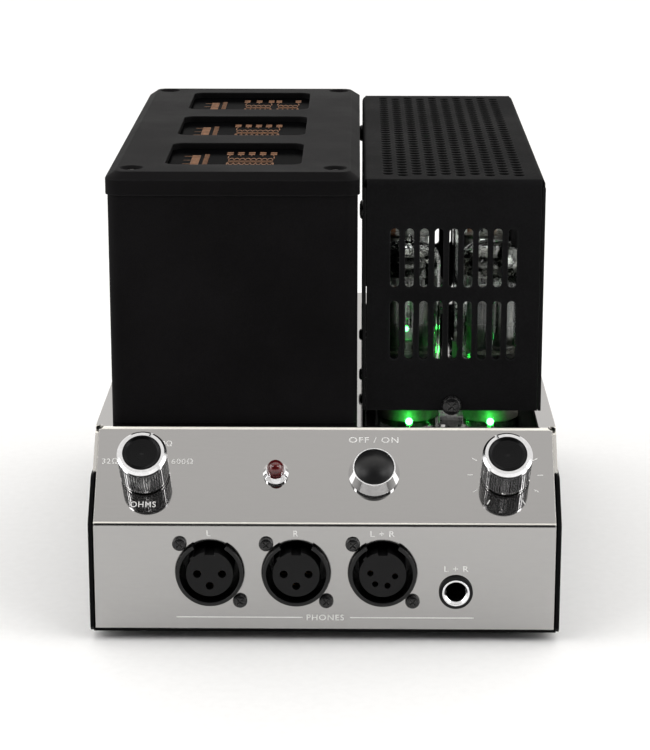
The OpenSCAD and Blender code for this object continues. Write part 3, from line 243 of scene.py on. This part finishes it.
def on_slope(x, up):
    """A spot on the sloping panel, so far up it from the front bend."""
    spot = (x, front_y + up * math.cos(slope), tray_z + bend_z + up * math.sin(slope))
    return turned((1, 0, 0), (0, math.cos(slope), math.sin(slope)), spot)


def on_front(x, z):
    """A spot on the lower front, so far above the underside of the tray."""
    return turned((1, 0, 0), (0, 0, 1), (x, front_y, tray_z + z))


def add_words(drawing, words, spot, width, height):
    """Plain capitals, as wide and high as given, centred on a spot."""
    letters = bpy.data.curves.new("letters", "FONT")
    letters.body = words
    letters.space_character = 1.12
    letters.extrude = 0.05
    letters.offset = 0.004
    letters.resolution_u = 4
    holder = bpy.data.objects.new("letters", letters)
    bpy.context.scene.collection.objects.link(holder)
    bpy.context.view_layer.update()
    mesh = bpy.data.meshes.new_from_object(holder.evaluated_get(bpy.context.evaluated_depsgraph_get()))
    corners = [v.co for v in mesh.vertices]
    low = Vector([min(c[k] for c in corners) for k in range(3)])
    high = Vector([max(c[k] for c in corners) for k in range(3)])
    size = Vector((width / (high.x - low.x), height / (high.y - low.y), ink_film / (high.z - low.z)))
    middle = Vector(((low.x + high.x) / 2, (low.y + high.y) / 2, low.z))
    mesh.transform(spot @ Matrix.Diagonal((*size, 1.0)) @ Matrix.Translation(-middle))
    drawing.from_mesh(mesh)
    bpy.data.objects.remove(holder)
    bpy.data.curves.remove(letters)
    bpy.data.meshes.remove(mesh)


def add_bar(drawing, spot, width, height, thick=ink_film):
    """A flat bar with its middle on a spot, drawn as a thin film with a slightly narrower top."""
    corners = []
    for z, inset in ((0.0, 0.0), (thick, thick * 0.3)):
        for x, y in ((-1, -1), (1, -1), (1, 1), (-1, 1)):
            corner = Vector((x * (width / 2 - inset), y * (height / 2 - inset), z))
            corners.append(drawing.verts.new(spot @ corner))
    for k in range(4):
        drawing.faces.new((corners[k], corners[(k + 1) % 4], corners[4 + (k + 1) % 4], corners[4 + k]))
    drawing.faces.new(corners[4:])
    drawing.faces.new(corners[3::-1])


def new_piece(name, drawing, material, body="amplifier"):
    """Makes a drawn mesh a piece of the object that moves with a body."""
    mesh = bpy.data.meshes.new(name)
    drawing.to_mesh(mesh)
    drawing.free()
    mesh.materials.append(material)
    piece = bpy.data.objects.new(name, mesh)
    bpy.context.scene.collection.objects.link(piece)
    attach(piece, body)
    return piece


ink = finish("white_ink", (0.78, 0.775, 0.76), (0.88, 0.88, 0.86), 0.35, 0.5, grain=4000.0, patch=400.0,
             relief=0.000004, edge=0.00002)
line_thick = 0.00035
tick_out, tick_long = 0.0116, 0.0018
slope_ink = bmesh.new()
slope_letter = 0.0021
for words, x, up, width in (("OFF / ON", 0.0162, 0.0317, 0.0165), ("OHMS", -0.0599, 0.0073, 0.0084),
                            ("32Ω", -0.0717, 0.0234, 0.0052), ("100Ω", -0.0632, 0.0301, 0.0066),
                            ("250Ω", -0.0546, 0.0301, 0.0066), ("600Ω", -0.0476, 0.0234, 0.0071)):
    add_words(slope_ink, words, on_slope(x, up), width, slope_letter)
for step in range(11):
    mark = Matrix.Rotation(math.radians(150 - 30 * step), 4, "Z") @ Matrix.Translation((0, tick_out, 0))
    add_bar(slope_ink, on_slope(knob_out, controls_up) @ mark, line_thick, tick_long)
new_piece("slope_legends", slope_ink, ink)

front_ink = bmesh.new()
front_letter, caption_z = 0.0020, 0.0052
for words, x, z, width in (("L", -0.0381, 0.0345, 0.0013), ("R", -0.0094, 0.0345, 0.0016),
                           ("L + R", 0.0191, 0.0345, 0.0080), ("L + R", 0.0435, 0.0224, 0.0080),
                           ("PHONES", 0.0003, caption_z, 0.0124)):
    add_words(front_ink, words, on_front(x, z), width, front_letter)
for x, width in ((-0.0282, 0.0418), (0.0290, 0.0410)):
    add_bar(front_ink, on_front(x, caption_z), width, line_thick)
new_piece("front_legends", front_ink, ink)


# Round headphone and input sockets. Die-cast barrels in satin black, moulded inserts with
# gold-plated contacts down their holes, each clamped from behind by two black screws.
socket_black = finish("socket_black", (0.002, 0.002, 0.0022), (0.004, 0.004, 0.0042), 0.16, 0.26,
                      grain=1600.0, relief=0.000006, edge=0.0005, edge_wear_and_highlight=(0.02, 0.02, 0.02),
                      Specular_IOR_Level=0.3)
insert_black = finish("moulded_black", (0.004, 0.004, 0.0042), (0.0075, 0.0075, 0.008), 0.42, 0.6,
                      grain=2200.0, relief=0.000012, edge=0.00025, Specular_IOR_Level=0.2)
gold = finish("gold_plating", (0.72, 0.47, 0.16), (0.85, 0.6, 0.26), 0.16, 0.3, grain=800.0,
              patch=300.0, relief=0.000004, edge=0.00015, Metallic=1.0)
# The contacts are painted a dark, dull gold as painted shade of the deep holes.
shaded_contact_gold = finish("contacts_painted_shade", (0.2, 0.13, 0.05), (0.34, 0.24, 0.1), 0.3, 0.45, grain=800.0,
                      patch=300.0, relief=0.000006, edge=0.0001, Metallic=1.0)
paint(socket_black, "headphone_socket_left", "headphone_socket_right", "headphone_socket_stereo",
      "input_socket_left", "input_socket_right")
paint(insert_black, "socket_inserts", "mains_inlet", "fuse_drawer", "jack_nut")
paint(gold, "phono_sockets")
paint(shaded_contact_gold, "socket_contacts")


# Headphone jack, lamp and bezels. Brass turned on a lathe, then chrome plated and bright; fine
# turning marks stay in the plating. A red moulded jewel closes the lamp, a black dome the button.
chrome = finish("bright_chrome", (0.74, 0.74, 0.75), (0.84, 0.84, 0.85), 0.03, 0.09, grain=700.0,
                patch=200.0, relief=0.000001, edge=0.0002, Metallic=1.0)
jewel_red = finish("jewel_red", (0.05, 0.002, 0.003), (0.11, 0.005, 0.006), 0.06, 0.16, grain=900.0,
                   patch=900.0, relief=0.00004, edge=0.0003, Coat_Weight=0.6)
button_black = finish("button_satin", (0.006, 0.006, 0.0065), (0.009, 0.009, 0.0095), 0.3, 0.4,
                      grain=2600.0, relief=0.000006, edge=0.0004, Specular_IOR_Level=0.35)
switch_body = finish("switch_moulding", (0.02, 0.02, 0.024), (0.035, 0.035, 0.04), 0.4, 0.6,
                     grain=1200.0, relief=0.00001)

# The jack is plated at its mouth only: its throat behind the nut is black moulding.
plated_jack = chrome.copy()
plated_jack.name = "plated_jack"
tree = plated_jack.node_tree
shader = tree.nodes["Principled BSDF"]
jack_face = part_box("headphone_jack")[0].y
place = put(tree, "TexCoord").outputs["Object"]
depth = put(tree, "SeparateXYZ", {0: place}).outputs[1]
throat = spread(tree, depth, jack_face + 0.0008, jack_face + 0.0012, 0.0, 1.0)
plating = shader.inputs["Base Color"].links[0].from_socket
join(tree, mixed(tree, throat, plating, (0.004, 0.004, 0.004, 1.0)), shader.inputs["Base Color"])
join(tree, spread(tree, throat, 0.0, 1.0, 1.0, 0.0), shader.inputs["Metallic"])
paint(plated_jack, "headphone_jack")
paint(chrome, "lamp_bezel", "button_bezel", "mode_switch", "mode_lever")
paint(jewel_red, "lamp_jewel")
paint(button_black, "standby_button")
paint(switch_body, "standby_switch")


# Knobs. Turned from aluminium bar with a straight knurl, the rim bright and a notch cut in it as
# the pointer. The grooves are painted near black and not metallic as shade. A black anodised disc with spun
# grooves closes each end.
knob_metal = finish("knurled_knob", (0.72, 0.72, 0.73), (0.84, 0.84, 0.85), 0.1, 0.2, grain=900.0,
                    patch=200.0, relief=0.000003, edge=0.0, Metallic=1.0)
tree = knob_metal.node_tree
shader = tree.nodes["Principled BSDF"]
unshaded_metal = shader.inputs["Base Color"].links[0].from_socket
# Painted shade: ambient occlusion darkens the knurl grooves to near black and takes their metal away.
groove_shade_ao = put(tree, "AmbientOcclusion", {"Distance": 0.0006}, samples=8, only_local=True).outputs["AO"]
ridge = spread(tree, groove_shade_ao, 0.6, 0.8, 0.0, 1.0)
join(tree, mixed(tree, ridge, (0.004, 0.004, 0.004, 1.0), unshaded_metal), shader.inputs["Base Color"])
join(tree, ridge, shader.inputs["Metallic"])
shaft_metal = finish("turned_shaft", (0.4, 0.4, 0.42), (0.55, 0.55, 0.56), 0.2, 0.35, grain=900.0,
                     relief=0.000004, Metallic=1.0)
spun_rings, given, result = new_group("spun_rings", [("Centre", "Vector"), ("Tilt", "Float")],
                                      [("Height", "Float"), ("Sheen", "Float")])
place = put(spun_rings, "TexCoord").outputs["Object"]
near = put(spun_rings, "VectorMath", {0: place, 1: given["Centre"]}, operation="SUBTRACT").outputs[0]
about_x = {"Vector": near, "Axis": (1, 0, 0), "Angle": given["Tilt"]}
level = put(spun_rings, "VectorRotate", about_x).outputs[0]
part = put(spun_rings, "SeparateXYZ", {0: level}).outputs
flat = put(spun_rings, "CombineXYZ", {0: part[0], 1: part[1]}).outputs[0]
radius = put(spun_rings, "VectorMath", {0: flat}, operation="LENGTH").outputs["Value"]
ring_place = put(spun_rings, "CombineXYZ", {0: radius}).outputs[0]
grooves = put(spun_rings, "TexNoise", {"Vector": ring_place, "Scale": 6500.0, "Detail": 2.0}).outputs[0]
join(spun_rings, grooves, result["Height"])
join(spun_rings, spread(spun_rings, grooves, 0.35, 0.65, 0.0, 1.0), result["Sheen"])


def spun_disc(name, node):
    """Black anodised aluminium with grooves that run round the disc's own centre."""
    low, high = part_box(node)
    material = bpy.data.materials.new(name)
    material.use_nodes = True
    tree = material.node_tree
    shader = tree.nodes["Principled BSDF"]
    rings = put(tree, "Group", node_tree=spun_rings)
    rings.inputs["Centre"].default_value = (low + high) / 2
    rings.inputs["Tilt"].default_value = -slope
    tone = mixed(tree, rings.outputs["Sheen"], (0.007, 0.007, 0.0075, 1.0), (0.014, 0.014, 0.0145, 1.0))
    join(tree, tone, shader.inputs["Base Color"])
    join(tree, spread(tree, rings.outputs["Sheen"], 0.0, 1.0, 0.24, 0.34), shader.inputs["Roughness"])
    groove = put(tree, "Bump", {"Strength": 0.7, "Distance": 0.00002, "Height": rings.outputs["Height"]})
    join(tree, groove.outputs[0], shader.inputs["Normal"])
    shader.inputs["Metallic"].default_value = 0.9
    paint(material, node)


paint(knob_metal, "load_knob", "volume_knob")
paint(shaft_metal, "load_shaft", "volume_shaft", "load_switch", "volume_control")
paint(zinc, "control_nuts")
spun_disc("load_disc_black", "load_knob_disc")
spun_disc("volume_disc_black", "volume_knob_disc")


# Transformers. Two output transformers and the power transformer stand in a row: varnished
# laminated cores, copper windings and zinc straps, bolted through the top plate.
core_steel = finish("laminations", (0.14, 0.14, 0.145), (0.3, 0.29, 0.28), 0.4, 0.65, grain=2400.0,
                    stretch=(0.05, 1.0, 0.05), patch=60.0, relief=0.00008, Metallic=0.8)
winding = finish("enamelled_wire", (0.28, 0.1, 0.03), (0.5, 0.22, 0.08), 0.25, 0.4, grain=1800.0,
                 stretch=(0.04, 0.04, 1.0), patch=60.0, relief=0.00012, Metallic=0.7)
paint(core_steel, "output_transformer_left", "output_transformer_right", "power_transformer")
paint(winding, "transformer_coils")
paint(zinc, "transformer_straps")


# Transformer box. A folded steel box under a machined cap with a chamfered rim, both in a fine
# matt black powder coat that looks slightly grey where light grazes it. Four screws hold the cap.
# Its edges are lightened a little: partly wear, partly a painted highlight on the folds.
box_coat = finish("box_powder_coat", (0.0044, 0.0042, 0.0044), (0.0072, 0.0068, 0.0072), 0.5, 0.64,
                  grain=2600.0, patch=24.0, relief=0.00004, edge=0.0008, edge_wear_and_highlight=(0.03, 0.03, 0.03),
                  Specular_IOR_Level=0.02)
paint(box_coat, "transformer_box", "transformer_cap")


# Window plates. Gloss black plates under the cap's three windows, each printed in bronze with the
# plain circuit sign of the transformer below it: windings as loops, taps and small tags.
plate_gloss = finish("window_gloss", (0.001, 0.001, 0.0012), (0.002, 0.002, 0.0022), 0.12, 0.2,
                     grain=900.0, patch=60.0, relief=0.0000005, Specular_IOR_Level=0.0004)
bronze_ink = finish("bronze_ink", (0.11, 0.05, 0.024), (0.26, 0.13, 0.07), 0.4, 0.55, grain=1600.0,
                    patch=700.0, relief=0.000004, edge=0.00002, Specular_IOR_Level=0.02)
paint(plate_gloss, "window_plates")
wire = 0.0003
loop_pitch = 0.0019


def add_loops(drawing, spot, start, count, bulge):
    """A winding: a row of half rings, each a thin bent strip."""
    for k in range(count):
        ring = []
        for step in range(9):
            angle = math.pi * step / 8
            for radius in (loop_pitch / 2 - wire / 2, loop_pitch / 2 + wire / 2):
                x = start + (k + 0.5) * loop_pitch - radius * math.cos(angle)
                y = bulge * radius * math.sin(angle)
                ring.append(drawing.verts.new(spot @ Vector((x, y, ink_film))))
        for step in range(8):
            near, far = 2 * step, 2 * step + 2
            drawing.faces.new((ring[near], ring[near + 1], ring[far + 1], ring[far]))


def add_diagram(drawing, spot, groups):
    """The sign of one transformer, drawn about the middle of its window."""
    def bar(x, y, width, height):
        add_bar(drawing, spot @ Matrix.Translation((x, y, 0)), width, height)

    # The first winding on the left: a block, its three leads and the core's bars beside it.
    for k in range(8):
        bar(-0.0139, -0.0088 + 0.0023 * k, 0.0029, 0.0020 if k % 3 else 0.0016)
    for y in (0.0065, -0.0010, -0.0080):
        bar(-0.0167, y, 0.0025, 0.0005)
    for k in range(13):
        bar(-0.0103, -0.0095 + 0.0016 * k, 0.0017, 0.0008)

    # The second windings: two rows of loops with rules between them, leads at the ends and tags.
    for start, loops in groups:
        width = loop_pitch * loops
        for y, bulge in ((-0.0012, 4.2), (-0.0052, -4.0)):
            add_loops(drawing, spot @ Matrix.Translation((0, y, 0)), start, loops, bulge)
        for y in (-0.0018, -0.0026, -0.0038, -0.0046):
            bar(start + width / 2, y, width, 0.0004)
        for side in (-1, 1):
            end = start + width / 2 + side * (width / 2 + 0.0003)
            bar(end, 0.0045, 0.0004, 0.0040)
            bar(end, -0.0080, 0.0004, 0.0050)
        tags = max(2, round(loops / 1.7))
        for k in range(tags):
            x = start + width * k / (tags - 1)
            for y, high in ((0.0136, 0.0022), (0.0105, 0.0022), (0.0080, 0.0012)):
                bar(x, y, 0.0022 if high > 0.002 else 0.0005, high)
            bar(x, -0.0145, 0.0022, 0.0024)


plate_low, plate_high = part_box("window_plates")
windows_x = (plate_low.x + plate_high.x) / 2
window_pitch = 0.0588
for k, (name, groups) in enumerate((
        ("front_window_diagram", ((-0.0025, 8),)),
        ("middle_window_diagram", ((-0.0025, 8),)),
        ("rear_window_diagram", ((-0.0017, 5), (0.0108, 4))))):
    window_y = (plate_low.y + plate_high.y) / 2 + (k - 1) * window_pitch
    bronze = bmesh.new()
    add_diagram(bronze, Matrix.Translation((windows_x, window_y, plate_high.z + 0.00001)), groups)
    new_piece(name, bronze, bronze_ink)


# Tubes. Four small nine-pin valves in ceramic sockets on their own board, lit green from below.
# Blown glass over nickel plates with folded fins; a silver getter flash clouds the dome.
tube_boxes = [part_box("driver_tube_" + side) for side in ("left", "right")]
tube_xs = [(low.x + high.x) / 2 for low, high in tube_boxes]
tube_base_z = tube_boxes[0][0].z
glass = bpy.data.materials.new("tube_glass")
glass.use_nodes = True
tree = glass.node_tree
shader = tree.nodes["Principled BSDF"]
skin = put(tree, "Group", node_tree=surface_grain)
for key, value in (("Grain", 120.0), ("Stretch", (1.0, 1.0, 1.0)), ("Patch", 60.0),
                   ("Tone", (0.93, 0.98, 0.95, 1.0)), ("Pale", (0.98, 1.0, 0.98, 1.0)), ("Smooth", 0.0),
                   ("Rough", 0.035)):
    skin.inputs[key].default_value = value
join(tree, skin.outputs["Colour"], shader.inputs["Base Color"])
join(tree, skin.outputs["Roughness"], shader.inputs["Roughness"])
shader.inputs["Transmission Weight"].default_value = 1.0
shader.inputs["IOR"].default_value = 1.47
nickel = finish("electrode_nickel", (0.2, 0.2, 0.205), (0.42, 0.4, 0.38), 0.3, 0.5, grain=800.0,
                stretch=(1.0, 1.0, 0.2), patch=200.0, relief=0.00001, edge=0.0002, Metallic=1.0)
ceramic = finish("dull_ceramic", (0.2, 0.19, 0.17), (0.3, 0.28, 0.25), 0.3, 0.45, grain=900.0,
                 patch=120.0, relief=0.000008, edge=0.0004)
green_light = finish("green_light", (0.02, 0.5, 0.06), (0.05, 0.8, 0.12), 0.2, 0.3, grain=900.0,
                     Emission_Color=(0.03, 1.0, 0.1, 1.0), Emission_Strength=14.0)
paint(glass, "driver_tube_left", "driver_tube_right", "output_tube_left", "output_tube_right")
paint(nickel, "tube_electrodes")
paint(ceramic, "tube_sockets")
paint(green_light, "socket_lights")
getter = finish("getter_flash", (0.1, 0.1, 0.1), (0.5, 0.49, 0.46), 0.08, 0.3, grain=500.0, patch=260.0,
                relief=0.000004, Metallic=1.0)
mica = finish("mica_disc", (0.5, 0.47, 0.42), (0.75, 0.72, 0.66), 0.2, 0.4, grain=700.0,
              relief=0.000004, Transmission_Weight=0.2)
heater = finish("heater_sleeve", (0.3, 0.27, 0.22), (0.5, 0.46, 0.4), 0.5, 0.6, grain=900.0,
                Emission_Color=(1.0, 0.32, 0.08, 1.0), Emission_Strength=0.03)


def add_turned(drawing, spot, profile, around=32):
    """A thin turned skin from a list of radius and height."""
    rings = []
    for radius, height in profile:
        ring = []
        for k in range(around):
            angle = 2 * math.pi * k / around
            ring.append(drawing.verts.new(spot @ Vector((radius * math.cos(angle),
                                                         radius * math.sin(angle), height))))
        rings.append(ring)
    for low, high in zip(rings, rings[1:]):
        for k in range(around):
            drawing.faces.new((low[k], low[(k + 1) % around], high[(k + 1) % around], high[k]))


glass_wall = 0.00105
plate_x = 0.0046
for name, plates_high, glass_high in (("driver", 0.020, 0.050), ("output", 0.028, 0.060)):
    low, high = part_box(name + "_tube_left")
    row_y = (low.y + high.y) / 2
    inner = (high.x - low.x) / 2 - glass_wall
    plates, flashes, spacers, heaters = bmesh.new(), bmesh.new(), bmesh.new(), bmesh.new()
    for tube_x in tube_xs:
        middle = Matrix.Translation((tube_x, row_y, tube_base_z))
        for side in (-1, 1):
            for y in (-1, 1):
                fin = Matrix.Translation((side * plate_x, y * 0.0042, 0.0105 + plates_high / 2))
                flat_fin = middle @ fin @ Matrix.Rotation(math.radians(90), 4, "Y")
                add_bar(plates, flat_fin, plates_high, 0.0021, 0.0003)
            for k in range(3):
                band = 0.0125 + k * plates_high / 2.4
                around_plate = middle @ Matrix.Translation((side * plate_x, 0, 0))
                add_turned(plates, around_plate, [(0.00345, band), (0.00375, band + 0.0003),
                                                  (0.00375, band + 0.0009), (0.00345, band + 0.0012)])
            cathode = middle @ Matrix.Translation((side * plate_x, 0, 0))
            add_turned(heaters, cathode, [(0.0009, plates_high + 0.0127), (0.0009, plates_high + 0.0142),
                                          (0.0004, plates_high + 0.0148), (0.00001, plates_high + 0.0148)])
        for z in (0.0108, plates_high + 0.0115):
            teeth = [(0.0001, z + 0.0015), (inner - 0.0012, z + 0.0015), (inner - 0.0003, z + 0.0017)]
            add_turned(spacers, middle, teeth, around=24)
        dome = [(inner, glass_high - 0.0105)]
        bend = inner * 0.62
        for step in range(9):
            angle = math.radians(90 * step / 8)
            dome.append((inner - bend + bend * math.cos(angle) - 0.00006,
                         glass_high - 0.00102 - bend + bend * math.sin(angle)))
        add_turned(flashes, middle, dome + [(0.0012, glass_high - 0.00102)])
    new_piece(name + "_plate_fins", plates, nickel)
    new_piece(name + "_getter_flashes", flashes, getter)
    new_piece(name + "_mica_spacers", spacers, mica)
    new_piece(name + "_heater_tips", heaters, heater)


# Tube cage. Sheet steel folded over the tubes, punched with round holes on top and slots round
# the sides, in semi-matt black powder coat. A bracket and one screw hold it at each end.
# Its edges are lightened a little: partly wear, partly a painted highlight on the folds.
cage_coat = finish("cage_powder_coat", (0.006, 0.006, 0.0062), (0.0088, 0.0088, 0.0092), 0.42, 0.56,
                   grain=1900.0, patch=30.0, relief=0.000018, edge=0.0008, edge_wear_and_highlight=(0.03, 0.03, 0.03),
                   Specular_IOR_Level=0.004)
paint(cage_coat, "tube_cage")
paint(zinc, "cage_brackets")


# Studio. A pale floor and a soft white surround that is dark in front. Two tall soft lights and two
# small ones stand at the sides, a wide one hangs above, and a far one lights the floor behind.
floor_mesh = bmesh.new()
bmesh.ops.create_grid(floor_mesh, x_segments=8, y_segments=8, size=6.0)
floor = bpy.data.meshes.new("floor")
floor_mesh.to_mesh(floor)
floor_mesh.free()
floor.materials.append(finish("pale_floor", (0.87, 0.87, 0.87), (0.9, 0.9, 0.9), 0.7, 0.85, grain=300.0,
                              patch=3.0, relief=0.00001))
floor_piece = bpy.data.objects.new("floor", floor)
floor_piece.location = (0, 0, -0.0001)
bpy.context.scene.collection.objects.link(floor_piece)

world = bpy.data.worlds.new("studio")
bpy.context.scene.world = world
world.use_nodes = True
sky = world.node_tree
look = put(sky, "TexCoord").outputs["Generated"]
ahead = put(sky, "VectorMath", {0: look, 1: (0.0, -0.966, 0.259)}, operation="DOT_PRODUCT").outputs["Value"]
shade = put(sky, "MapRange", {"Value": ahead, "From Min": 0.52, "From Max": 0.82, "To Min": 0.0,
                              "To Max": 1.0}, interpolation_type="SMOOTHSTEP").outputs[0]
tint = mixed(sky, shade, (1.0, 0.985, 0.965, 1.0), (0.05, 0.05, 0.05, 1.0))
join(sky, tint, sky.nodes["Background"].inputs["Color"])


def soft_light(name, spot, aim, width, height, watts, colour):
    """A large soft light that faces a point."""
    lamp = bpy.data.lights.new(name, "AREA")
    lamp.shape = "RECTANGLE"
    lamp.size = width
    lamp.size_y = height
    lamp.energy = watts
    lamp.color = colour
    holder = bpy.data.objects.new(name, lamp)
    holder.location = spot
    holder.rotation_euler = (Vector(aim) - Vector(spot)).to_track_quat("-Z", "Y").to_euler()
    bpy.context.scene.collection.objects.link(holder)


soft_light("left_light", (-1.25, -0.35, 0.55), (0, 0, 0.08), 0.7, 1.0, 6.5, (1.0, 1.0, 1.0))
soft_light("right_light", (1.25, -0.35, 0.55), (0, 0, 0.08), 0.7, 1.0, 6.5, (1.0, 1.0, 1.0))
soft_light("left_key", (-0.78, -0.97, 0.92), (0, 0, 0.05), 0.3, 0.3, 1.9, (1.0, 1.0, 1.0))
soft_light("right_key", (0.78, -0.97, 0.92), (0, 0, 0.05), 0.3, 0.3, 1.9, (1.0, 1.0, 1.0))
soft_light("far_light", (0, 3.2, 2.4), (0, 3.0, 0), 4.0, 2.2, 40.0, (1.0, 1.0, 1.0))
soft_light("top_light", (0, 0.15, 1.35), (0, 0.15, 0), 1.6, 0.72, 3.0, (1.0, 0.985, 0.94))
for name in ("driver", "output"):
    low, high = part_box(name + "_tube_left")
    row_y = (low.y + high.y) / 2
    for tube_x in tube_xs:
        for y, z in ((row_y - 0.0085, tube_base_z + 0.006), (low.y - 0.003, tube_base_z - 0.0015)):
            glow = bpy.data.lights.new("green_glow", "POINT")
            glow.energy = 0.0035
            glow.color = (0.05, 1.0, 0.1)
            glow.shadow_soft_size = 0.0012
            lit = bpy.data.objects.new("green_glow", glow)
            lit.location = (tube_x, y, z)
            lit.visible_camera = False
            bpy.context.scene.collection.objects.link(lit)

camera = bpy.data.cameras.new("camera")
camera.lens = 115.3
camera.sensor_width = 36.0
camera.clip_start = 0.02
camera.clip_end = 60.0
viewer = bpy.data.objects.new("camera", camera)
viewer.location = (0.01004, -0.85993, 0.29597)
viewer.rotation_euler = (math.radians(90 - 15.292), 0, math.radians(0.756))
bpy.context.scene.collection.objects.link(viewer)
bpy.context.scene.camera = viewer
bpy.context.scene.view_settings.view_transform = "Standard"
bpy.context.scene.view_settings.look = "None"
